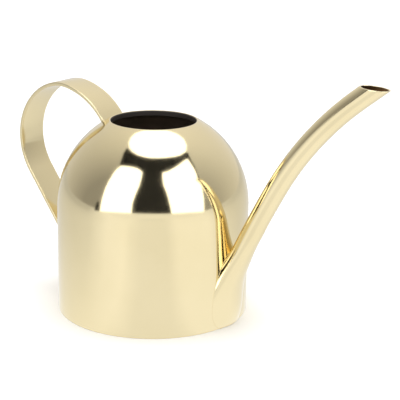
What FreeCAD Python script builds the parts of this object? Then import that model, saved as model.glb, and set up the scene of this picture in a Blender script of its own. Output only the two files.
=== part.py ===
"""Indoor watering can of polished plated steel: domed body, bent tube spout, strap handle.

Millimetres. +Z is up, the origin is on the body's axis at the surface it stands on,
and +X points along the spout. The XZ plane is the can's plane of symmetry.
"""
import FreeCAD, Part
import math
import os

# Body
BODY_R = 65.0
SHEET = 0.8
SPRING_Z = 73.0
HOLE_R = 28.5
LIP_BEND_R = 1.0
LIP_DEPTH = 2.5

# Base plate
BASE_FLANGE_HEIGHT = 6.0
BASE_CORNER_R = 2.0
BASE_CLEARANCE = 0.05
BASE_BEAD = 1.4
BASE_BEAD_RUNS = 8

# Spout: two arcs that meet at TUBE_MEET and a straight stretch up to the mouth
TUBE_MEET = (98.4, 101.0)
MEET_SLOPE = math.radians(60.3)
LOWER_ARC_R = 700.0
UPPER_ARC_R = 225.0
TIP_SLOPE = math.radians(38.5)
TIP_R = 6.55
TUBE_R = 7.0
SPOUT_SHEET = 0.8
TUBE_STEP = 15.0
TUBE_STEPS_DOWN = 2
TUBE_STEPS_UP = 8
MOUTH_CENTRE = (163.8, 172.9)
MOUTH_TILT = 3.0
PORT_R = 9.0
PORT_Z = 22.0
PORT_CUT = 12.0

# Spout root: (height, half width, reach beyond the wall, set back from the tube's axis)
ROOT_SECTIONS = (
    (-6.0, 22.0, -0.6, 2.0),
    (1.0, 23.5, 1.4, 2.0),
    (8.0, 23.0, 3.0, 2.0),
    (16.0, 20.8, 4.0, 2.0),
    (24.0, 18.4, 5.0, 2.0),
    (34.0, 14.3, 7.9, 1.6),
    (46.0, 10.9, 12.9, 0.4),
    (58.0, 8.5, 18.4, 0.0),
)
ROOT_BEAD = 0.5

# Handle strap
STRAP_WIDTH = 22.5
STRAP_SHEET = 2.4
STRAP_EDGE_R = 0.5
LOOP_CENTRE = (-68.0, 106.0)
LOOP_R = 43.5
LOOP_LOW = math.radians(216.0)
LOOP_HIGH = math.radians(130.0)
STRAP_TOP = ((-74.5, 148.4), (-60.7, 146.2), (-48.1, 140.4), (-38.0, 131.9), (-30.5, 122.5))
FOOT_LENGTH = 78.0
STRAP_BEAD = 0.5

# Middle of the quarter bend in the base plate's corner
MID_CORNER = math.radians(-45.0)

# Side of the blocks that trim pieces; larger than the can
TRIM_BLOCK = 300.0

Z_AXIS = FreeCAD.Vector(0, 0, 1)
ORIGIN = FreeCAD.Vector(0, 0, 0)


def xz(point, y=0.0):
    """Vector of an (x, z) pair."""
    return FreeCAD.Vector(point[0], y, point[1])


def on_circle(centre, radius, angle):
    """Point of a circle in the XZ plane as an (x, z) pair."""
    return (centre[0] + radius * math.cos(angle), centre[1] + radius * math.sin(angle))


def line(a, b):
    return Part.makeLine(xz(a), xz(b))


def arc(a, middle, b):
    return Part.Arc(xz(a), xz(middle), xz(b)).toShape()


def revolved(edges):
    """Solid of revolution about the can's axis from the edges of a closed outline."""
    face = Part.Face(Part.Wire(edges))
    return face.revolve(ORIGIN, Z_AXIS, 360.0)


def dome_solid(grow=0.0):
    """The body filled in: a cylinder under a hemisphere, larger by grow all round."""
    radius = BODY_R + grow
    column = Part.makeCylinder(radius, SPRING_Z + grow, FreeCAD.Vector(0, 0, -grow))
    ball = Part.makeSphere(radius, FreeCAD.Vector(0, 0, SPRING_Z))
    return column.fuse(ball)


def lip_bend():
    """Centre of the lip's bend, and the angle where the dome runs into it."""
    centre_r = HOLE_R + LIP_BEND_R
    reach = BODY_R - LIP_BEND_R
    centre_z = SPRING_Z + math.sqrt(reach ** 2 - centre_r ** 2)
    return (centre_r, centre_z), math.asin((centre_z - SPRING_Z) / reach)


def skin_path(inset):
    """Edges of the body's section at a depth under its skin, from the foot to the lip."""
    bend, meet = lip_bend()
    radius = BODY_R - inset
    dome_centre = (0.0, SPRING_Z)
    bend_r = LIP_BEND_R - inset
    spring = (radius, SPRING_Z)
    dome_end = on_circle(dome_centre, radius, meet)
    neck_top = (bend[0] - bend_r, bend[1])
    neck_foot = (neck_top[0], bend[1] - LIP_DEPTH)
    mid_bend = on_circle(bend, bend_r, (meet + math.pi) / 2)
    edges = [
        line((radius, 0.0), spring),
        arc(spring, on_circle(dome_centre, radius, meet / 2), dome_end),
        arc(dome_end, mid_bend, neck_top),
        line(neck_top, neck_foot),
    ]
    return edges, neck_foot


def shell():
    """Wall and dome in one drawn sheet, with the turned-in lip and the spout's port."""
    outside, outer_end = skin_path(0.0)
    inside, inner_end = skin_path(SHEET)
    foot = line((BODY_R, 0.0), (BODY_R - SHEET, 0.0))
    edges = outside + [line(outer_end, inner_end)] + inside + [foot]
    body = revolved(Part.__sortEdges__(edges))
    return body.cut(spout_port())


def base_plate():
    """Flat disc with a turned-up flange that fits inside the wall."""
    rim = BODY_R - SHEET - BASE_CLEARANCE
    bend = (rim - BASE_CORNER_R, BASE_CORNER_R)
    inner_r = BASE_CORNER_R - SHEET
    outer_foot = (bend[0], 0.0)
    outer_side = (rim, bend[1])
    inner_side = (rim - SHEET, bend[1])
    inner_foot = (bend[0], SHEET)
    edges = [
        line((0.0, 0.0), outer_foot),
        arc(outer_foot, on_circle(bend, BASE_CORNER_R, MID_CORNER), outer_side),
        line(outer_side, (rim, BASE_FLANGE_HEIGHT)),
        line((rim, BASE_FLANGE_HEIGHT), (rim - SHEET, BASE_FLANGE_HEIGHT)),
        line((rim - SHEET, BASE_FLANGE_HEIGHT), inner_side),
        arc(inner_side, on_circle(bend, inner_r, MID_CORNER), inner_foot),
        line(inner_foot, (0.0, SHEET)),
        line((0.0, SHEET), (0.0, 0.0)),
    ]
    return revolved(edges)


def base_bead():
    """Ring of filler metal on the flange's edge, laid in equal runs inside the wall."""
    wall = BODY_R - SHEET
    corner = (wall, BASE_FLANGE_HEIGHT)
    inner = (wall - SHEET, BASE_FLANGE_HEIGHT)
    upper = (wall, BASE_FLANGE_HEIGHT + BASE_BEAD)
    section = Part.Face(Part.Wire([line(corner, inner), line(inner, upper), line(upper, corner)]))
    turn = 360.0 / BASE_BEAD_RUNS
    runs = []
    for number in range(BASE_BEAD_RUNS):
        run = section.revolve(ORIGIN, Z_AXIS, turn)
        run.rotate(ORIGIN, Z_AXIS, number * turn)
        runs.append(run)
    return runs[0].multiFuse(runs[1:]).Solids[0]


def centre_line(run):
    """Point (x, z) and slope of the tube's centre line, run mm beyond where its arcs meet."""
    radius = UPPER_ARC_R if run > 0.0 else LOWER_ARC_R
    straight_from = UPPER_ARC_R * (MEET_SLOPE - TIP_SLOPE)
    along = min(run, straight_from)
    slope = MEET_SLOPE - along / radius
    x = TUBE_MEET[0] + radius * (math.sin(MEET_SLOPE) - math.sin(slope))
    z = TUBE_MEET[1] + radius * (math.cos(slope) - math.cos(MEET_SLOPE))
    rest = run - along
    return (x + rest * math.cos(slope), z + rest * math.sin(slope)), slope


def axis_x(height):
    """Where the lower arc of the tube's centre line passes a height."""
    slope = math.acos(math.cos(MEET_SLOPE) + (height - TUBE_MEET[1]) / LOWER_ARC_R)
    return TUBE_MEET[0] + LOWER_ARC_R * (math.sin(MEET_SLOPE) - math.sin(slope))


def oval(centre, forward, half_depth, half_width):
    """Closed elliptical wire, half_depth along forward and half_width across the can."""
    side = FreeCAD.Vector(0, 1, 0)
    up = forward.cross(side)
    placed = FreeCAD.Matrix(
        forward.x * half_depth, side.x * half_width, up.x, centre.x,
        forward.y * half_depth, side.y * half_width, up.y, centre.y,
        forward.z * half_depth, side.z * half_width, up.z, centre.z,
        0, 0, 0, 1)
    return Part.Wire(Part.makeCircle(1.0).transformGeometry(placed).Edges)


def root_oval(section, inset):
    """Level section of the flared root, just behind the line of the tube's axis."""
    height, half_width, reach, set_back = section
    middle = axis_x(height) - set_back
    half_depth = BODY_R + reach - middle
    centre = FreeCAD.Vector(middle, 0, height)
    return oval(centre, FreeCAD.Vector(1, 0, 0), half_depth - inset, half_width - inset)


def tube_oval(step, inset):
    """Round section of the tube, square to its centre line."""
    point, slope = centre_line(step * TUBE_STEP)
    taper = (TUBE_R - TIP_R) * (step + TUBE_STEPS_DOWN) / (TUBE_STEPS_UP + TUBE_STEPS_DOWN)
    radius = TUBE_R - taper - inset
    across = FreeCAD.Vector(math.sin(slope), 0, -math.cos(slope))
    return oval(xz(point), across, radius, radius)


def spout_form(inset):
    """The spout filled in, smaller by inset all round, from inside the wall to its tip."""
    wires = [root_oval(section, inset) for section in ROOT_SECTIONS]
    wires += [tube_oval(step, inset) for step in range(-TUBE_STEPS_DOWN, TUBE_STEPS_UP + 1)]
    return Part.makeLoft(wires, True)


def above_floor(shape):
    """The part of a shape that is over the surface the can stands on."""
    half = TRIM_BLOCK / 2
    corner = FreeCAD.Vector(-half, -half, -TRIM_BLOCK)
    return shape.cut(Part.makeBox(TRIM_BLOCK, TRIM_BLOCK, TRIM_BLOCK, corner))


def mouth_cutter():
    """Block over the spout's mouth, whose lower face is the nearly level cut."""
    half = TRIM_BLOCK / 2
    block = Part.makeBox(TRIM_BLOCK, TRIM_BLOCK, TRIM_BLOCK, FreeCAD.Vector(-half, -half, 0))
    block.rotate(ORIGIN, FreeCAD.Vector(0, 1, 0), MOUTH_TILT)
    block.translate(xz(MOUTH_CENTRE))
    return block


def spout():
    """Bent tube with a flared root that is cut to lie on the wall, and a level mouth."""
    tube = spout_form(0.0).cut(spout_form(SPOUT_SHEET))
    return above_floor(tube.cut(dome_solid()).cut(mouth_cutter()))


def spout_port():
    """Round hole through the wall behind the spout's root."""
    start = FreeCAD.Vector(BODY_R - PORT_CUT, 0, PORT_Z)
    return Part.makeCylinder(PORT_R, 2 * PORT_CUT, start, FreeCAD.Vector(1, 0, 0))


def bead(form, grown, width):
    """Line of filler metal where a form meets the body, in the corner round its foot."""
    skin = dome_solid(width).cut(dome_solid())
    return above_floor(grown.cut(form).common(skin))


def strap_outline(depth, reach):
    """Edges of the strap's section at a depth under its outer face, from foot to top end."""
    radius = LOOP_R - depth
    low = on_circle(LOOP_CENTRE, radius, LOOP_LOW)
    back = on_circle(LOOP_CENTRE, radius, math.pi)
    high = on_circle(LOOP_CENTRE, radius, LOOP_HIGH)
    lean = FreeCAD.Vector(-math.sin(LOOP_LOW), 0, math.cos(LOOP_LOW))
    leg = Part.makeLine(xz(low) + lean * reach, xz(low))
    return [leg, arc(low, back, high), strap_top(depth)]


def strap_top(depth):
    """Edge along the top of the strap, where it flattens on its way to the dome."""
    start = on_circle(LOOP_CENTRE, LOOP_R, LOOP_HIGH)
    points = [xz(point) for point in (start,) + STRAP_TOP]
    first_way = FreeCAD.Vector(math.sin(LOOP_HIGH), 0, -math.cos(LOOP_HIGH))
    last_way = (points[-1] - points[-2]).normalize()
    curve = Part.BSplineCurve()
    curve.interpolate(Points=points, InitialTangent=first_way, FinalTangent=last_way)
    if depth:
        curve = Part.OffsetCurve(curve, depth, FreeCAD.Vector(0, -1, 0)).toBSpline()
    return curve.toShape()


def strap_form(grow=0.0):
    """The bent strip before its ends are cut to the body, larger by grow all round."""
    outer = strap_outline(-grow, FOOT_LENGTH)
    inner = strap_outline(STRAP_SHEET + grow, FOOT_LENGTH)
    foot_end = Part.makeLine(outer[0].Vertexes[0].Point, inner[0].Vertexes[0].Point)
    top_end = Part.makeLine(outer[-1].Vertexes[-1].Point, inner[-1].Vertexes[-1].Point)
    face = Part.Face(Part.Wire(Part.__sortEdges__(outer + [top_end] + inner + [foot_end])))
    width = STRAP_WIDTH + 2 * grow
    face.translate(FreeCAD.Vector(0, -width / 2, 0))
    return face.extrude(FreeCAD.Vector(0, width, 0))


def handle_strap():
    """Flat strap bent into a loop; both ends are cut to lie on the body."""
    strap = strap_form()
    long_edges = [edge for edge in strap.Edges if edge.BoundBox.YLength < STRAP_EDGE_R]
    return strap.makeFillet(STRAP_EDGE_R, long_edges).cut(dome_solid())


def handle_bead(over_spring):
    """Line of filler metal round one end of the strap: the dome's end or the wall's."""
    ring = bead(strap_form(), strap_form(STRAP_BEAD), STRAP_BEAD)
    ends = [solid for solid in ring.Solids if (solid.BoundBox.ZMin > SPRING_Z) == over_spring]
    return ends[0]


def main():
    """Write one file for each piece."""
    os.makedirs("parts", exist_ok=True)
    pieces = {
        "shell": shell(),
        "base_plate": base_plate(),
        "base_joint": base_bead(),
        "spout_tube": spout(),
        "spout_joint": bead(spout_form(0.0), spout_form(-ROOT_BEAD), ROOT_BEAD),
        "handle_strap": handle_strap(),
        "handle_top_joint": handle_bead(True),
        "handle_foot_joint": handle_bead(False),
    }
    for name, shape in pieces.items():
        shape.exportStep("parts/" + name + ".step")


main()
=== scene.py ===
"""Studio picture of the polished gold watering can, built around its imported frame."""
import math

import bmesh
import bpy
import numpy as np
from mathutils import Matrix, Vector


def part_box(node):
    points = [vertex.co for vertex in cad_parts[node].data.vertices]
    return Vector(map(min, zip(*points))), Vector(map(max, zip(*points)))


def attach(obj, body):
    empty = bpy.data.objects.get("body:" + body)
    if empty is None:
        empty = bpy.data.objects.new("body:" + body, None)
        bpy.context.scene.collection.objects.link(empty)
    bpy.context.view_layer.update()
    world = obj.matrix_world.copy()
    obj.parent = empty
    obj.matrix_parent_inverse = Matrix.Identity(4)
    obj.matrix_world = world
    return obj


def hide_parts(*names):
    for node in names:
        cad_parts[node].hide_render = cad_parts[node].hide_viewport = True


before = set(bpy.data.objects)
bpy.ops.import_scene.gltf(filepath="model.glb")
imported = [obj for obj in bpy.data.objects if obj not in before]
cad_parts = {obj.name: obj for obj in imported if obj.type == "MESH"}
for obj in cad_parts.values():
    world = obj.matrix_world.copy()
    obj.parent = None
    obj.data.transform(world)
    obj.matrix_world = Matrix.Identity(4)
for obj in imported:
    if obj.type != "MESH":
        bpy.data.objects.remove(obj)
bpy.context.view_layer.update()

ROOT = "root"

# Camera: where it stands about the can's axis, and how it is turned from straight at the axis
VIEW_AZIMUTH = math.radians(37.1)
CAMERA_REACH = 0.822
CAMERA_HEIGHT = 0.318
CAMERA_YAW = math.radians(2.22)
CAMERA_PITCH = math.radians(16.46)
CAMERA_ROLL = math.radians(0.92)
SENSOR = 36.0
LENS = 113.25

# Body, in metres
shell_low, shell_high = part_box("shell")
BODY_R = (shell_high.y - shell_low.y) / 2
SHEET = 0.0008
SPRING_Z = 0.073
HOLE_R = 0.0285
LIP_BEND_R = 0.001
LIP_DEPTH = 0.0025
FOOT_EDGE_R = 0.0003
PORT_R = 0.009
PORT_Z = 0.022
PORT_CUTTER_DEPTH = 0.012

# Spout: two arcs that meet at TUBE_MEET and a straight stretch up to the mouth
TUBE_MEET = (0.0984, 0.101)
MEET_SLOPE = math.radians(60.3)
LOWER_ARC_R = 0.7
UPPER_ARC_R = 0.225
TIP_SLOPE = math.radians(38.5)
TIP_R = 0.00655
TUBE_R = 0.007
TUBE_STEP = 0.015
TUBE_STEPS_DOWN = 2
TUBE_STEPS_UP = 8
MOUTH_CENTRE = Vector((0.1638, 0.0, 0.1729))
MOUTH_TILT = math.radians(3.0)
MOUTH_EDGE = SHEET / 5

# Spout root: (height, half width, reach beyond the wall, set back from the tube's axis)
ROOT_SECTIONS = (
    (-0.006, 0.0220, -0.0006, 0.0020),
    (0.001, 0.0235, 0.0014, 0.0020),
    (0.008, 0.0230, 0.0030, 0.0020),
    (0.016, 0.0208, 0.0040, 0.0020),
    (0.024, 0.0184, 0.0050, 0.0020),
    (0.034, 0.0143, 0.0079, 0.0016),
    (0.046, 0.0109, 0.0129, 0.0004),
    (0.058, 0.0085, 0.0184, 0.0000),
)

# Handle strap
STRAP_WIDTH = 0.0225
STRAP_SHEET = 0.0024
STRAP_EDGE_R = 0.0005
LOOP_CENTRE = (-0.068, 0.106)
LOOP_R = 0.0435
LOOP_LOW = math.radians(216.0)
LOOP_HIGH = math.radians(130.0)
STRAP_TOP = (
    (-0.0745, 0.1484), (-0.0607, 0.1462), (-0.0481, 0.1404), (-0.038, 0.1319), (-0.0305, 0.1225),
)
FOOT_LENGTH = 0.078

# Lines of filler metal, and how far a piece's end is let into the body's skin
BEAD = 0.0005
LET_IN = 0.0003

# How finely the surfaces are divided
AROUND = 384
FOOT_STEPS = 4
WALL_STEPS = 24
DOME_STEPS = 96
LIP_STEPS = 16
PORT_AROUND = 64
TUBE_AROUND = 128
TUBE_ROWS = 220
STRAP_ROWS = 320
CORNER_STEPS = 5
BEAD_STEPS = 6

# Steps in the search for where a line of points meets the body or the mouth
HALVINGS = 40
TUBE_SEARCH = 80
STRAP_SEARCH = 300

# Share of a line's length over which the way it starts is taken, and the number of such
# stretches in the strap's length
BEAD_PROBE = 0.002
STRAP_PROBES = 2000

# Edges that turn by more than this are drawn sharp
SHARP = math.radians(40)
SPOUT_SHARP = math.radians(60)
BEAD_SHARP = math.radians(80)

# Directions of the room, and the centre of the dome's sphere
TOWARDS_CAMERA = Vector((math.sin(VIEW_AZIMUTH), -math.cos(VIEW_AZIMUTH), 0.0))
RIGHT = Vector((math.cos(VIEW_AZIMUTH), math.sin(VIEW_AZIMUTH), 0.0))
UP = Vector((0.0, 0.0, 1.0))
DOME_CENTRE = Vector((0.0, 0.0, SPRING_Z))


# ---------------------------------------------------------------- curves and meshes

def circle_point(centre, radius, angle):
    """Point of a circle in the plane of its centre's two coordinates."""
    return (centre[0] + radius * math.cos(angle), centre[1] + radius * math.sin(angle))


def arc_points(centre, radius, start, end, steps):
    """Points of an arc, both ends among them."""
    return [circle_point(centre, radius, start + (end - start) * i / steps) for i in range(steps + 1)]


def cubic_through(knots, values, first=None, last=None):
    """Function for the smooth cubic curve through the values, with given end slopes if any."""
    knots = np.asarray(knots, float)
    values = np.asarray(values, float).reshape(len(knots), -1)
    gap = np.diff(knots)
    rise = np.diff(values, axis=0) / gap[:, None]
    count = len(knots)
    matrix = np.zeros((count, count))
    right = np.zeros_like(values)
    for i in range(1, count - 1):
        matrix[i, i - 1] = gap[i]
        matrix[i, i] = 2 * (gap[i - 1] + gap[i])
        matrix[i, i + 1] = gap[i - 1]
        right[i] = 3 * (gap[i] * rise[i - 1] + gap[i - 1] * rise[i])
    for row, slope, near, side in ((0, first, 1, 0), (count - 1, last, count - 2, count - 2)):
        matrix[row, row] = 1.0 if slope is not None else 2.0
        matrix[row, near] = 0.0 if slope is not None else 1.0
        right[row] = slope if slope is not None else 3 * rise[side]
    slopes = np.linalg.solve(matrix, right)

    def value(at):
        i = int(np.clip(np.searchsorted(knots, at) - 1, 0, count - 2))
        t = (at - knots[i]) / gap[i]
        a = values[i] * (2 * t ** 3 - 3 * t ** 2 + 1) + values[i + 1] * (3 * t ** 2 - 2 * t ** 3)
        b = slopes[i] * (t ** 3 - 2 * t ** 2 + t) + slopes[i + 1] * (t ** 3 - t ** 2)
        return a + b * gap[i]

    return value


def above_skin(point):
    """Height of a point over the body's outer skin; negative inside it."""
    if point.z < SPRING_Z:
        return math.hypot(point.x, point.y) - BODY_R
    return (point - DOME_CENTRE).length - BODY_R


def skin_normal(point):
    """Direction straight out of the body's skin."""
    middle = Vector((0.0, 0.0, min(point.z, SPRING_Z)))
    return (point - middle).normalized()


def last_kept(place, inside, outside, keep):
    """Between two stations, the one where keep(place(station)) stops being true."""
    for _ in range(HALVINGS):
        middle = (inside + outside) / 2
        if keep(place(middle)):
            inside = middle
        else:
            outside = middle
    return inside


def walk_out(place, start, end, steps, keep):
    """Last station kept on the way from start to end."""
    before = start
    for i in range(1, steps + 1):
        station = start + (end - start) * i / steps
        if not keep(place(station)):
            return last_kept(place, before, station, keep)
        before = station
    return end


def new_piece(name, points, faces, materials, face_slots=None, sharp=SHARP):
    """Smooth-shaded mesh that rides on the can."""
    mesh = bpy.data.meshes.new(name)
    mesh.from_pydata([tuple(p) for p in points], [], faces)
    for material in materials:
        mesh.materials.append(material)
    if face_slots:
        mesh.polygons.foreach_set("material_index", face_slots)
    mesh.shade_smooth()
    mesh.set_sharp_from_angle(angle=sharp)
    mesh.validate()
    obj = bpy.data.objects.new(name, mesh)
    bpy.context.scene.collection.objects.link(obj)
    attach(obj, ROOT)
    return obj


def ring_faces(rings, around, closed_rings):
    """Quads between neighbouring rings of points; closed_rings joins the last to the first."""
    faces = []
    spans = rings if closed_rings else rings - 1
    for i in range(spans):
        a = i * around
        b = ((i + 1) % rings) * around
        for j in range(around):
            k = (j + 1) % around
            faces.append((a + j, a + k, b + k, b + j))
    return faces


def make_outward(obj):
    """Turn all faces outwards."""
    form = bmesh.new()
    form.from_mesh(obj.data)
    bmesh.ops.recalc_face_normals(form, faces=form.faces)
    form.to_mesh(obj.data)
    form.free()


# ---------------------------------------------------------------- body

def lip_bend():
    """Centre of the lip's bend, and the angle where the dome runs into it."""
    centre_r = HOLE_R + LIP_BEND_R
    reach = BODY_R - LIP_BEND_R
    centre_z = SPRING_Z + math.sqrt(reach ** 2 - centre_r ** 2)
    return (centre_r, centre_z), math.asin((centre_z - SPRING_Z) / reach)


def skin_profile(inset):
    """(radius, height) points of the body's section from the foot to the end of the lip."""
    bend, meet = lip_bend()
    radius = BODY_R - inset
    points = [(radius, 0.0)]
    if inset == 0:
        foot = FOOT_EDGE_R
        points = arc_points((radius - foot, foot), foot, math.radians(-90), 0.0, FOOT_STEPS)
    start = points[-1][1]
    points += [(radius, start + (SPRING_Z - start) * i / WALL_STEPS) for i in range(1, WALL_STEPS)]
    points += arc_points((0.0, SPRING_Z), radius, 0.0, meet, DOME_STEPS)
    points += arc_points(bend, LIP_BEND_R - inset, meet, math.pi, LIP_STEPS)[1:]
    points.append((points[-1][0], bend[1] - LIP_DEPTH))
    return points


def make_shell(gold, dark):
    """Wall, dome and lip, with the port behind the spout's root."""
    outer = skin_profile(0.0)
    inner = skin_profile(SHEET)
    profile = outer + inner[::-1]
    points = []
    for radius, height in profile:
        for j in range(AROUND):
            angle = 2 * math.pi * j / AROUND
            points.append((radius * math.cos(angle), radius * math.sin(angle), height))
    faces = ring_faces(len(profile), AROUND, True)
    # The polish ends half way round the lip's bend
    polished = len(outer) - LIP_STEPS // 2 - 2
    slots = [0 if i // AROUND < polished else 1 for i in range(len(faces))]
    shell = new_piece("shell_body", points, faces, [gold, dark], slots)
    make_outward(shell)
    cut_port(shell)
    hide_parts("shell")


def cut_port(shell):
    """Round hole through the wall, where the spout's root covers it."""
    form = bmesh.new()
    bmesh.ops.create_cone(
        form, cap_ends=True, segments=PORT_AROUND, radius1=PORT_R, radius2=PORT_R, depth=PORT_CUTTER_DEPTH)
    turn = Matrix.Translation((BODY_R, 0.0, PORT_Z)) @ Matrix.Rotation(math.pi / 2, 4, "Y")
    bmesh.ops.transform(form, matrix=turn, verts=form.verts)
    mesh = bpy.data.meshes.new("port_cutter")
    form.to_mesh(mesh)
    form.free()
    cutter = bpy.data.objects.new("port_cutter", mesh)
    bpy.context.scene.collection.objects.link(cutter)
    modifier = shell.modifiers.new("port", "BOOLEAN")
    modifier.object = cutter
    modifier.operation = "DIFFERENCE"
    bpy.context.view_layer.update()
    graph = bpy.context.evaluated_depsgraph_get()
    cut = bpy.data.meshes.new_from_object(shell.evaluated_get(graph))
    shell.modifiers.clear()
    shell.data = cut
    bpy.data.objects.remove(cutter)


# ---------------------------------------------------------------- spout

def centre_line(run):
    """Point (x, z) and slope of the tube's centre line, run metres beyond where its arcs meet."""
    radius = UPPER_ARC_R if run > 0.0 else LOWER_ARC_R
    along = min(run, UPPER_ARC_R * (MEET_SLOPE - TIP_SLOPE))
    slope = MEET_SLOPE - along / radius
    x = TUBE_MEET[0] + radius * (math.sin(MEET_SLOPE) - math.sin(slope))
    z = TUBE_MEET[1] + radius * (math.cos(slope) - math.cos(MEET_SLOPE))
    rest = run - along
    return (x + rest * math.cos(slope), z + rest * math.sin(slope)), slope


def axis_x(height):
    """Where the lower arc of the tube's centre line passes a height."""
    slope = math.acos(math.cos(MEET_SLOPE) + (height - TUBE_MEET[1]) / LOWER_ARC_R)
    return TUBE_MEET[0] + LOWER_ARC_R * (math.sin(MEET_SLOPE) - math.sin(slope))


def spout_sections():
    """Function of a station along the spout: centre x, z, section tilt, half depth, half width."""
    rows = []
    for height, half_width, reach, set_back in ROOT_SECTIONS:
        middle = axis_x(height) - set_back
        rows.append((middle, height, 0.0, BODY_R + reach - middle, half_width))
    for step in range(-TUBE_STEPS_DOWN, TUBE_STEPS_UP + 1):
        (x, z), slope = centre_line(step * TUBE_STEP)
        taper = (TUBE_R - TIP_R) * (step + TUBE_STEPS_DOWN) / (TUBE_STEPS_UP + TUBE_STEPS_DOWN)
        rows.append((x, z, math.pi / 2 - slope, TUBE_R - taper, TUBE_R - taper))
    rows = np.array(rows)
    gaps = np.hypot(*np.diff(rows[:, :2], axis=0).T)
    knots = np.concatenate(([0.0], np.cumsum(gaps)))
    return cubic_through(knots, rows), knots


def spout_surface(inset):
    """Function (station, angle) -> point of the spout's surface, inset under its skin."""
    sections, knots = spout_sections()

    def place(station, angle):
        x, z, tilt, depth, width = sections(station)
        forward = (depth - inset) * math.cos(angle)
        side = (width - inset) * math.sin(angle)
        return Vector((x + forward * math.cos(tilt), side, z - forward * math.sin(tilt)))

    return place, knots


def over_mouth(point):
    """Height of a point over the plane of the spout's mouth."""
    normal = Vector((math.sin(MOUTH_TILT), 0.0, math.cos(MOUTH_TILT)))
    return (point - MOUTH_CENTRE).dot(normal)


def spout_columns(inset, sink, drop):
    """Lines of points up the spout, from sink under the wall's skin to drop below its mouth."""
    place, knots = spout_surface(inset)
    middle = knots[len(ROOT_SECTIONS) + TUBE_STEPS_DOWN]
    columns = []
    for j in range(TUBE_AROUND):
        angle = 2 * math.pi * j / TUBE_AROUND

        def on_column(station, angle=angle):
            return place(station, angle)

        def outside_wall(point):
            return above_skin(point) > -sink and point.z > FOOT_EDGE_R

        def under_mouth(point):
            return over_mouth(point) < -drop

        low = walk_out(on_column, middle, 0.0, TUBE_SEARCH, outside_wall)
        high = walk_out(on_column, middle, knots[-1], TUBE_SEARCH, under_mouth)
        columns.append((on_column, low, high))
    return columns


def column_rings(columns, rows):
    """Rings of points across a set of columns, from their low ends to their high ends."""
    rings = []
    for i in range(rows + 1):
        share = i / rows
        rings.append([place(low + (high - low) * share) for place, low, high in columns])
    return rings


def make_spout(gold, dark):
    """Tube with its flared root let into the wall and a rounded edge at the mouth."""
    outer = column_rings(spout_columns(0.0, LET_IN, MOUTH_EDGE), TUBE_ROWS)
    rim = column_rings(spout_columns(MOUTH_EDGE, LET_IN, 0.0), 1)[-1]
    inner_rim = column_rings(spout_columns(SHEET - MOUTH_EDGE, LET_IN, 0.0), 1)[-1]
    inner = column_rings(spout_columns(SHEET, LET_IN, MOUTH_EDGE), TUBE_ROWS)
    rings = outer + [rim, inner_rim] + inner[::-1]
    points = [point for ring in rings for point in ring]
    faces = ring_faces(len(rings), TUBE_AROUND, True)
    slots = [0 if i // TUBE_AROUND < len(outer) + 2 else 1 for i in range(len(faces))]
    spout = new_piece("spout_body", points, faces, [gold, dark], slots, SPOUT_SHARP)
    make_outward(spout)
    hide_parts("spout_tube")


def bead_round(name, columns, node, metal):
    """Fine concave line of filler metal where a set of columns meets the body's skin."""
    rings = [[] for _ in range(BEAD_STEPS + 2)]
    count = len(columns)
    feet = [last_kept(place, high, low, lambda p: above_skin(p) > 0.0) for place, low, high in columns]
    starts = [place(foot) for (place, low, high), foot in zip(columns, feet)]
    for j, (place, low, high) in enumerate(columns):
        corner = starts[j]
        along = (place(feet[j] + (high - low) * BEAD_PROBE) - corner).normalized()
        round_it = (starts[(j + 1) % count] - starts[j - 1]).normalized()
        normal = skin_normal(corner)
        out = round_it.cross(normal).normalized()
        if out.dot(corner - sum(starts, Vector()) / count) < 0:
            out = -out
        upper = corner + along * BEAD
        lower = corner + out * BEAD
        lower -= skin_normal(lower) * above_skin(lower)
        for i in range(BEAD_STEPS + 1):
            t = i / BEAD_STEPS
            rings[i].append(upper * (1 - t) ** 2 + corner * 2 * t * (1 - t) + lower * t ** 2)
        rings[-1].append(corner - normal * LET_IN - out * LET_IN)
    for ring in rings:
        for point in ring:
            point.z = max(point.z, 0.0)
    points = [point for ring in rings for point in ring]
    faces = ring_faces(len(rings), count, True)
    bead = new_piece(name, points, faces, [metal], sharp=BEAD_SHARP)
    make_outward(bead)
    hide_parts(node)


# ---------------------------------------------------------------- handle

def strap_line():
    """Function of a station along the strap's outer face: point (x, z); and its length."""
    low = circle_point(LOOP_CENTRE, LOOP_R, LOOP_LOW)
    lean = (-math.sin(LOOP_LOW), math.cos(LOOP_LOW))
    sweep = LOOP_R * (LOOP_LOW - LOOP_HIGH)
    high = circle_point(LOOP_CENTRE, LOOP_R, LOOP_HIGH)
    points = np.array((high,) + STRAP_TOP)
    knots = np.concatenate(([0.0], np.cumsum(np.hypot(*np.diff(points, axis=0).T))))
    first = (math.sin(LOOP_HIGH), -math.cos(LOOP_HIGH))
    last = (points[-1] - points[-2]) / np.hypot(*(points[-1] - points[-2]))
    top = cubic_through(knots, points, first, last)

    def place(station):
        if station < FOOT_LENGTH:
            back = FOOT_LENGTH - station
            return (low[0] + lean[0] * back, low[1] + lean[1] * back)
        if station < FOOT_LENGTH + sweep:
            return circle_point(LOOP_CENTRE, LOOP_R, LOOP_LOW - (station - FOOT_LENGTH) / LOOP_R)
        return tuple(top(station - FOOT_LENGTH - sweep))

    return place, FOOT_LENGTH + sweep + knots[-1]


def strap_section():
    """(depth, across) points round the strap's section, with rounded edges."""
    half = STRAP_WIDTH / 2
    r = STRAP_EDGE_R
    corners = (
        ((r, half - r), 90, 180), ((r, r - half), 180, 270),
        ((STRAP_SHEET - r, r - half), 270, 360), ((STRAP_SHEET - r, half - r), 0, 90),
    )
    points = []
    for centre, start, end in corners:
        points += arc_points(centre, r, math.radians(start), math.radians(end), CORNER_STEPS)
    return points


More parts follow.
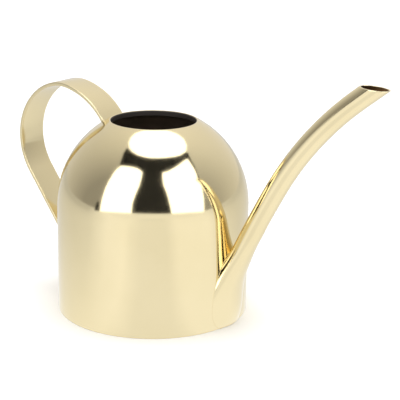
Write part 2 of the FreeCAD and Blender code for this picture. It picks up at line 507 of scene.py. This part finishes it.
def strap_columns():
    """Lines of points along the strap, both ends let into the body's skin."""
    line, length = strap_line()
    step = length / STRAP_PROBES

    def outside(point):
        return above_skin(point) > -LET_IN

    columns = []
    for depth, across in strap_section():

        def place(station, depth=depth, across=across):
            x, z = line(station)
            x0, z0 = line(station - step)
            x1, z1 = line(station + step)
            size = math.hypot(x1 - x0, z1 - z0)
            inward = ((z1 - z0) / size, -(x1 - x0) / size)
            return Vector((x + inward[0] * depth, across, z + inward[1] * depth))

        foot = walk_out(place, length / 2, 0.0, STRAP_SEARCH, outside)
        top = walk_out(place, length / 2, length, STRAP_SEARCH, outside)
        columns.append((place, foot, top))
    return columns


def make_strap(gold, columns):
    """Flat strip bent into a loop, from the lines of points along it."""
    rings = column_rings(columns, STRAP_ROWS)
    points = [point for ring in rings for point in ring]
    around = len(columns)
    faces = ring_faces(len(rings), around, False)
    faces += [tuple(range(around)), tuple(range(len(points) - around, len(points)))]
    strap = new_piece("handle_strip", points, faces, [gold])
    make_outward(strap)
    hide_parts("handle_strap")


def from_top(columns):
    """The same lines of points, each run from its top end."""
    turned = []
    for place, foot, top in columns:

        def down(station, place=place, foot=foot, top=top):
            return place(top + foot - station)

        turned.append((down, foot, top))
    return turned


# ---------------------------------------------------------------- shader nodes

# Detail of a noise, and the bands of it over which a tint drifts
PLAIN = 2.0
SOFT = 3.0
FINE = 4.0
NARROW_BAND = (0.35, 0.65)
WIDE_BAND = (0.3, 0.7)


def node_material(name):
    """New material, with its node tree and its main shader."""
    material = bpy.data.materials.new(name)
    material.use_nodes = True
    tree = material.node_tree
    return material, tree, tree.nodes["Principled BSDF"]


def noise(tree, scale, detail=PLAIN):
    """Noise fixed to the can, scale in cycles per metre."""
    coords = tree.nodes.new("ShaderNodeTexCoord")
    texture = tree.nodes.new("ShaderNodeTexNoise")
    texture.inputs["Scale"].default_value = scale
    texture.inputs["Detail"].default_value = detail
    tree.links.new(coords.outputs["Object"], texture.inputs["Vector"])
    return texture.outputs["Fac"]


def tint_ramp(tree, source, band, colours):
    """Blend of two colours while the source climbs through a band."""
    node = tree.nodes.new("ShaderNodeValToRGB")
    for element, place, colour in zip(node.color_ramp.elements, band, colours):
        element.position = place
        element.color = (*colour, 1.0)
    tree.links.new(source, node.inputs["Fac"])
    return node.outputs["Color"]


def spread(tree, source, low, high, start=0.0, end=1.0):
    """Value that runs from low to high while the source climbs from start to end."""
    node = tree.nodes.new("ShaderNodeMapRange")
    for name, value in (("From Min", start), ("From Max", end), ("To Min", low), ("To Max", high)):
        node.inputs[name].default_value = value
    tree.links.new(source, node.inputs["Value"])
    return node.outputs["Result"]


def combine(tree, operation, a, b):
    """One number from two, by a named operation."""
    node = tree.nodes.new("ShaderNodeMath")
    node.operation = operation
    tree.links.new(a, node.inputs[0])
    tree.links.new(b, node.inputs[1])
    return node.outputs["Value"]


def blend(tree, share, a, b):
    """Number between a and b, by share."""
    node = tree.nodes.new("ShaderNodeMix")
    tree.links.new(share, node.inputs["Factor"])
    tree.links.new(a, node.inputs["A"])
    tree.links.new(b, node.inputs["B"])
    return node.outputs["Result"]


def dot(tree, source, way):
    """How far a vector reaches along a fixed direction."""
    node = tree.nodes.new("ShaderNodeVectorMath")
    node.operation = "DOT_PRODUCT"
    node.inputs[1].default_value = tuple(way)
    tree.links.new(source, node.inputs[0])
    return node.outputs["Value"]


def magnitude(tree, source):
    """Length of a vector."""
    node = tree.nodes.new("ShaderNodeVectorMath")
    node.operation = "LENGTH"
    tree.links.new(source, node.inputs[0])
    return node.outputs["Value"]


def scaled(tree, source, factor):
    """Colour or vector times a factor."""
    node = tree.nodes.new("ShaderNodeVectorMath")
    node.operation = "SCALE"
    tree.links.new(source, node.inputs[0])
    tree.links.new(factor, node.inputs["Scale"])
    return node.outputs["Vector"]


def bump(tree, shader, source, strength, distance):
    """Fine relief, distance in metres."""
    node = tree.nodes.new("ShaderNodeBump")
    node.inputs["Strength"].default_value = strength
    node.inputs["Distance"].default_value = distance
    tree.links.new(source, node.inputs["Height"])
    tree.links.new(node.outputs["Normal"], shader.inputs["Normal"])


def tone(tree, share, stops):
    """Brightness round the can, from (degrees right of the camera, brightness) stops."""
    node = tree.nodes.new("ShaderNodeValToRGB")
    elements = node.color_ramp.elements
    while len(elements) < len(stops):
        elements.new(0.5)
    for element, (degrees, value) in zip(elements, stops):
        element.position = 0.5 + degrees / 360.0
        element.color = (value / FLOOR_TOP, value / FLOOR_TOP, value / FLOOR_TOP, 1.0)
    tree.links.new(share, node.inputs["Fac"])
    split = tree.nodes.new("ShaderNodeSeparateColor")
    tree.links.new(node.outputs["Color"], split.inputs["Color"])
    return spread(tree, split.outputs["Red"], 0.0, FLOOR_TOP)


# ---------------------------------------------------------------- materials

# Two tints of each metal, between which its colour drifts
PLATING_TINTS = ((0.80, 0.69, 0.43), (0.83, 0.72, 0.46))
FILLER_TINTS = ((0.77, 0.65, 0.39), (0.81, 0.69, 0.43))
INSIDE_TINTS = ((0.22, 0.172, 0.142), (0.28, 0.22, 0.185))
BORE_TINTS = ((0.28, 0.13, 0.016), (0.34, 0.16, 0.022))

# Lowest and highest roughness
PLATING_GLOSS = (0.085, 0.115)
FILLER_GLOSS = (0.17, 0.22)
INSIDE_GLOSS = (0.5, 0.7)

# Lacquer over the plating
LACQUER = 0.02
LACQUER_GLOSS = 0.45

# Cycles per metre of the drift in tint, the uneven gloss and the polishing texture
TINT_DRIFT = 22.0
GLOSS_DRIFT = 180.0
POLISH = 2600.0
POLISH_STRENGTH = 0.12
POLISH_DEPTH = 0.00002
INSIDE_DRIFT = 60.0
INSIDE_GRAIN = 300.0
INSIDE_METALLIC = 0.4

# Heights from which and up to which painted shade darkens an inner face towards its open end, and the share
# of its colour left
INSIDE_PAINTED_SHADE = (0.122, 0.127)
BORE_PAINTED_SHADE = (0.165, 0.1735)
PAINTED_SHADE_SHARE = 0.16


def gold_metal(name, tints, gloss):
    """Polished plating: slight drift of tint, fine polishing texture, clear lacquer."""
    material, tree, shader = node_material(name)
    shader.inputs["Metallic"].default_value = 1.0
    shader.inputs["Coat Weight"].default_value = LACQUER
    shader.inputs["Coat Roughness"].default_value = LACQUER_GLOSS
    tint = tint_ramp(tree, noise(tree, TINT_DRIFT, SOFT), NARROW_BAND, tints)
    tree.links.new(tint, shader.inputs["Base Color"])
    rough = spread(tree, noise(tree, GLOSS_DRIFT, FINE), *gloss)
    tree.links.new(rough, shader.inputs["Roughness"])
    bump(tree, shader, noise(tree, POLISH), POLISH_STRENGTH, POLISH_DEPTH)
    return material


def dark_metal(name, tints, painted_shade):
    """Unpolished inner face of the sheet, with painted shade that darkens it towards its open end."""
    material, tree, shader = node_material(name)
    shader.inputs["Metallic"].default_value = INSIDE_METALLIC
    tint = tint_ramp(tree, noise(tree, INSIDE_DRIFT, FINE), WIDE_BAND, tints)
    place = tree.nodes.new("ShaderNodeTexCoord").outputs["Object"]
    # Painted shade: the colour falls to a small share of itself over these heights, darkest at the open end
    share = spread(tree, dot(tree, place, UP), 1.0, PAINTED_SHADE_SHARE, *painted_shade)
    tree.links.new(scaled(tree, tint, share), shader.inputs["Base Color"])
    rough = spread(tree, noise(tree, INSIDE_GRAIN), *INSIDE_GLOSS)
    tree.links.new(rough, shader.inputs["Roughness"])
    return material


def glow(name, colour, strength):
    """Surface that gives light evenly, for a card of the studio."""
    material = bpy.data.materials.new(name)
    material.use_nodes = True
    tree = material.node_tree
    tree.nodes.clear()
    out = tree.nodes.new("ShaderNodeOutputMaterial")
    emit = tree.nodes.new("ShaderNodeEmission")
    emit.inputs["Color"].default_value = (*colour, 1.0)
    emit.inputs["Strength"].default_value = strength
    tree.links.new(emit.outputs["Emission"], out.inputs["Surface"])
    return material


def dress_cad(name, material):
    """Give a CAD node that keeps its own shape a material."""
    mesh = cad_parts[name].data
    mesh.materials.clear()
    mesh.materials.append(material)


# ---------------------------------------------------------------- studio

WHITE = (1.0, 1.0, 1.0)
BLACK_TINT = (0.0015, 0.0012, 0.001)
PANEL_GLOW = 2.4
SKIRT_GLOW = 1.04

# Distances of the upright cards from the can's axis, and the height their angles start from
CARD_DISTANCE = 1.6
BLACK_DISTANCE = 1.5
SKIRT_DISTANCE = 1.3
CORNER_DISTANCE = 1.25
CARD_CENTRE_Z = 0.1

# Bent cards: columns of foot and top corners, each in degrees right of the camera and degrees up
FRONT_PANEL = (
    ((-63, -4), (-63, 44)), ((-60, -4), (-58, 52)), ((-45, -4), (-45, 57)), ((-30, -4), (-30, 58)),
    ((-15, -4), (-15, 58)), ((0, -4), (0, 58)), ((15, -4), (15, 58)), ((30, -4), (30, 58)),
    ((45, -4), (50, 58)), ((60, -4), (75, 55)),
)
BLACK_STEM = (
    ((-25, -4), (21, -4)), ((-24.6, 2.4), (20.8, 2.4)), ((-24.4, 13), (19.2, 13.8)),
    ((-21.4, 26), (16.9, 26.6)), ((-19, 34.5), (14.1, 35)), ((-18.2, 43), (14.1, 43.3)),
    ((-18.8, 51), (16, 51)),
)
BLACK_EDGE = (
    ((88, 57), (80, 55)), ((78, 50), (74, 50)), ((72.5, 41.5), (69.8, 41.5)), ((68.5, 33.5), (66, 33.5)),
    ((66, 26), (64, 26)),
)
BLACK_CORNER = (((-70.5, -3.2), (-68.5, 6.0)), ((-64.0, -2.6), (-66.0, 6.0)))

# Bent cards with upright columns: degrees right of the camera, foot and top in degrees up
BLACK_BAND = (
    (-90, 64.5, 65.2), (-80, 60, 66), (-70, 55, 66.5), (-63, 48.5, 67), (-52, 51.5, 68), (-41, 53.5, 69),
    (-28, 53.5, 70), (-19, 50.5, 70.5), (-8, 50, 70.5), (4, 50, 70.5), (16, 50.5, 70.3), (25, 50.8, 69.5),
    (40, 53, 68), (55, 54.4, 66), (70, 54.6, 63.5), (80, 53, 60), (88, 56, 57.5),
)
SKIRT = (
    (-67, -4, -3.0), (-58, -4, -1.6), (-50, -4, -0.4), (-40, -4, 0.9), (-29, -4, 1.9), (-16, -4, 2.6),
    (-4, -4, 2.8), (8, -4, 2.7), (19, -4, 2.3), (28, -4, 1.8), (37, -4, 1.2), (46, -4, 0.2), (55, -4, -0.9),
    (64, -4, -2.2),
)

# Level card overhead: outline right of the axis and towards the camera, as shares of its height
OVERHEAD_HEIGHT = 1.5
OVERHEAD = (
    (-0.40, 0.02), (-0.39, -0.11), (-0.34, -0.23), (-0.26, -0.32), (-0.11, -0.36), (0.17, -0.38),
    (0.36, -0.36), (0.48, -0.28), (0.55, -0.14), (0.57, 0.03), (0.49, 0.18), (0.38, 0.27),
    (0.22, 0.34), (0.08, 0.37), (-0.05, 0.37), (-0.17, 0.33), (-0.28, 0.26), (-0.36, 0.14),
)

# Light of the room: its tint, its strength at the sides, and how that changes with direction
AIR_TINT = (1.0, 0.98, 0.95, 1.0)
AIR_SIDE = 0.44
AIR_RIGHT = 0.10
AIR_BEHIND = 0.40
AIR_UP = 0.42
AIR_LOWEST = 0.34

# Floor, whose reflection is a sheet of its own: (degrees right of the camera, brightness) close
# to the can, further out and at the horizon, and the distances where those hold
FLOOR_HALF = 12.0
FLOOR_TINTS = ((0.9, 0.9, 0.9), (0.92, 0.92, 0.92))
FLOOR_DRIFT = 3.0
FLOOR_ROUGHNESS = 0.95
SHEEN_HEIGHT = 0.0002
NEAR_DISTANCE = 0.07
FAR_DISTANCE = 0.26
HORIZON_DISTANCE = 1.3
FLOOR_TOP = 1.25
FLOOR_NEAR = (
    (-180.0, 0.95), (-130.0, 0.93), (-100.0, 0.98), (-60.0, 1.06), (-34.0, 1.12), (-24.0, 1.08),
    (-14.0, 1.0), (16.0, 1.0), (30.0, 1.10), (60.0, 1.10), (80.0, 1.02), (120.0, 0.98), (180.0, 0.95),
)
FLOOR_FAR = (
    (-180.0, 0.80), (-130.0, 0.79), (-98.0, 0.82), (-72.0, 0.88), (-50.0, 1.10), (-30.0, 1.15),
    (-24.0, 1.08), (-12.0, 1.0), (14.0, 1.0), (26.0, 1.14), (62.0, 1.15), (84.0, 0.95),
    (110.0, 0.83), (180.0, 0.80),
)
FLOOR_HORIZON = (
    (-180.0, 0.66), (-110.0, 0.58), (-80.0, 0.62), (-66.0, 0.95), (-50.0, 1.1), (-24.0, 1.08),
    (-12.0, 1.0), (14.0, 1.0), (26.0, 1.12), (62.0, 1.1), (84.0, 0.8), (110.0, 0.7), (180.0, 0.66),
)

# Key light
KEY_WATTS = 80.0
KEY_SIZE = 3.0
KEY_HEIGHT = 2.6


def studio(right, towards, up):
    """Point of the room from its distances right of, in front of and above the can."""
    return RIGHT * right + TOWARDS_CAMERA * towards + UP * up


def direction(azimuth, elevation, distance):
    """Point of a card seen from the can: degrees right of the camera, degrees up."""
    turn = math.radians(azimuth)
    height = distance * math.tan(math.radians(elevation))
    return studio(distance * math.sin(turn), distance * math.cos(turn), height + CARD_CENTRE_Z)


def card(name, corners, material, faces=None):
    """Card of the studio, seen only by what reflects it."""
    mesh = bpy.data.meshes.new(name)
    mesh.from_pydata([tuple(corner) for corner in corners], [], faces or [tuple(range(len(corners)))])
    mesh.materials.append(material)
    obj = bpy.data.objects.new(name, mesh)
    bpy.context.scene.collection.objects.link(obj)
    obj.visible_camera = False
    obj.visible_shadow = False
    obj.visible_diffuse = False


def bent_card(name, columns, distance, material):
    """Card bent round the can, from columns of (degrees right, up) foot and top corners."""
    corners = [direction(*end, distance) for column in columns for end in column]
    faces = [(2 * i, 2 * i + 2, 2 * i + 3, 2 * i + 1) for i in range(len(columns) - 1)]
    card(name, corners, material, faces)


def upright(columns):
    """Corners of columns given as (degrees right, foot, top)."""
    return [((turn, foot), (turn, top)) for turn, foot, top in columns]


def floor_corners(height):
    """Corners of the floor's square at a height."""
    half = FLOOR_HALF
    return [(-half, -half, height), (half, -half, height), (half, half, height), (-half, half, height)]


def make_floor():
    """Plain white paper."""
    mesh = bpy.data.meshes.new("floor")
    mesh.from_pydata(floor_corners(0.0), [], [(0, 1, 2, 3)])
    floor = bpy.data.objects.new("floor", mesh)
    bpy.context.scene.collection.objects.link(floor)
    material, tree, shader = node_material("floor_paper")
    shade = tint_ramp(tree, noise(tree, FLOOR_DRIFT), WIDE_BAND, FLOOR_TINTS)
    tree.links.new(shade, shader.inputs["Base Color"])
    shader.inputs["Roughness"].default_value = FLOOR_ROUGHNESS
    shader.inputs["Specular IOR Level"].default_value = 0.0
    mesh.materials.append(material)


def make_sheen():
    """Sheet over the floor, seen only in reflections: paper lit unevenly by the soft boxes."""
    material = glow("floor_sheen", WHITE, 1.0)
    tree = material.node_tree
    emit = tree.nodes["Emission"]
    place = tree.nodes.new("ShaderNodeNewGeometry").outputs["Position"]
    turn = combine(tree, "ARCTAN2", dot(tree, place, RIGHT), dot(tree, place, TOWARDS_CAMERA))
    share = spread(tree, turn, 0.0, 1.0, -math.pi, math.pi)
    distance = magnitude(tree, place)
    out = spread(tree, distance, 0.0, 1.0, NEAR_DISTANCE, FAR_DISTANCE)
    beyond = spread(tree, distance, 0.0, 1.0, FAR_DISTANCE, HORIZON_DISTANCE)
    paper = blend(tree, out, tone(tree, share, FLOOR_NEAR), tone(tree, share, FLOOR_FAR))
    sheen = blend(tree, beyond, paper, tone(tree, share, FLOOR_HORIZON))
    tree.links.new(sheen, emit.inputs["Strength"])
    card("floor_sheen", floor_corners(SHEEN_HEIGHT), material)


def make_air():
    """Light of the room: dim at the sides, brighter behind the can and overhead."""
    world = bpy.data.worlds.new("studio_air")
    bpy.context.scene.world = world
    world.use_nodes = True
    tree = world.node_tree
    air = tree.nodes["Background"]
    air.inputs["Color"].default_value = AIR_TINT
    way = tree.nodes.new("ShaderNodeTexCoord").outputs["Generated"]
    level = dot(tree, way, RIGHT * AIR_RIGHT - TOWARDS_CAMERA * AIR_BEHIND)
    height = dot(tree, way, UP)
    rise = combine(tree, "MULTIPLY", spread(tree, height, 0.0, AIR_UP), height)
    change = combine(tree, "ADD", level, rise)
    strength = spread(tree, change, AIR_LOWEST, 1.0, AIR_LOWEST - AIR_SIDE, 1.0 - AIR_SIDE)
    tree.links.new(strength, air.inputs["Strength"])


def make_cards():
    """A wide soft box split by a black T, a skirt along its foot, and a soft box overhead."""
    black = glow("black_card", BLACK_TINT, 1.0)
    white = glow("white_card", WHITE, PANEL_GLOW)
    skirt = glow("skirt_card", WHITE, SKIRT_GLOW)
    bent_card("front_panel", FRONT_PANEL, CARD_DISTANCE, white)
    bent_card("black_stem", BLACK_STEM, BLACK_DISTANCE, black)
    bent_card("black_band", upright(BLACK_BAND), BLACK_DISTANCE, black)
    bent_card("black_edge", BLACK_EDGE, BLACK_DISTANCE, black)
    bent_card("black_corner", BLACK_CORNER, CORNER_DISTANCE, black)
    bent_card("skirt", upright(SKIRT), SKIRT_DISTANCE, skirt)
    high = OVERHEAD_HEIGHT
    outline = [studio(right * high, towards * high, high) for right, towards in OVERHEAD]
    card("overhead_panel", outline, white)


def make_key():
    """Large soft light that whitens the floor."""
    data = bpy.data.lights.new("key", "AREA")
    data.shape = "RECTANGLE"
    data.size = KEY_SIZE
    data.size_y = KEY_SIZE
    data.energy = KEY_WATTS
    light = bpy.data.objects.new("key", data)
    bpy.context.scene.collection.objects.link(light)
    light.location = (0.0, 0.0, KEY_HEIGHT)
    light.visible_camera = False
    light.visible_glossy = False


def make_camera():
    """Camera at the picture's viewing angle."""
    data = bpy.data.cameras.new("camera")
    data.lens = LENS
    data.sensor_width = SENSOR
    camera = bpy.data.objects.new("camera", data)
    bpy.context.scene.collection.objects.link(camera)
    place = studio(0.0, CAMERA_REACH, CAMERA_HEIGHT)
    level = -TOWARDS_CAMERA * math.cos(CAMERA_YAW) + RIGHT * math.sin(CAMERA_YAW)
    forward = level * math.cos(CAMERA_PITCH) - UP * math.sin(CAMERA_PITCH)
    side = forward.cross(UP).normalized()
    top = side.cross(forward)
    tilted = side * math.cos(CAMERA_ROLL) + top * math.sin(CAMERA_ROLL)
    over = tilted.cross(forward)
    turn = Matrix((tilted, over, -forward)).transposed().to_4x4()
    camera.matrix_world = Matrix.Translation(place) @ turn
    bpy.context.scene.camera = camera


def make_studio():
    """Everything round the can."""
    make_camera()
    make_floor()
    make_air()
    make_cards()
    make_sheen()
    make_key()
    bpy.context.scene.view_settings.view_transform = "Standard"


def make_can():
    """Every piece of the can, in its own metal."""
    plating = gold_metal("gold_plate", PLATING_TINTS, PLATING_GLOSS)
    filler = gold_metal("gold_filler", FILLER_TINTS, FILLER_GLOSS)
    inside = dark_metal("inside_sheet", INSIDE_TINTS, INSIDE_PAINTED_SHADE)
    bore = dark_metal("spout_bore", BORE_TINTS, BORE_PAINTED_SHADE)
    make_shell(plating, inside)
    make_spout(plating, bore)
    bead_round("spout_seam", spout_columns(0.0, LET_IN, 0.0), "spout_joint", filler)
    columns = strap_columns()
    make_strap(plating, columns)
    bead_round("handle_foot_seam", columns, "handle_foot_joint", filler)
    bead_round("handle_top_seam", from_top(columns), "handle_top_joint", filler)
    dress_cad("base_plate", plating)
    dress_cad("base_joint", filler)


make_studio()
make_can()
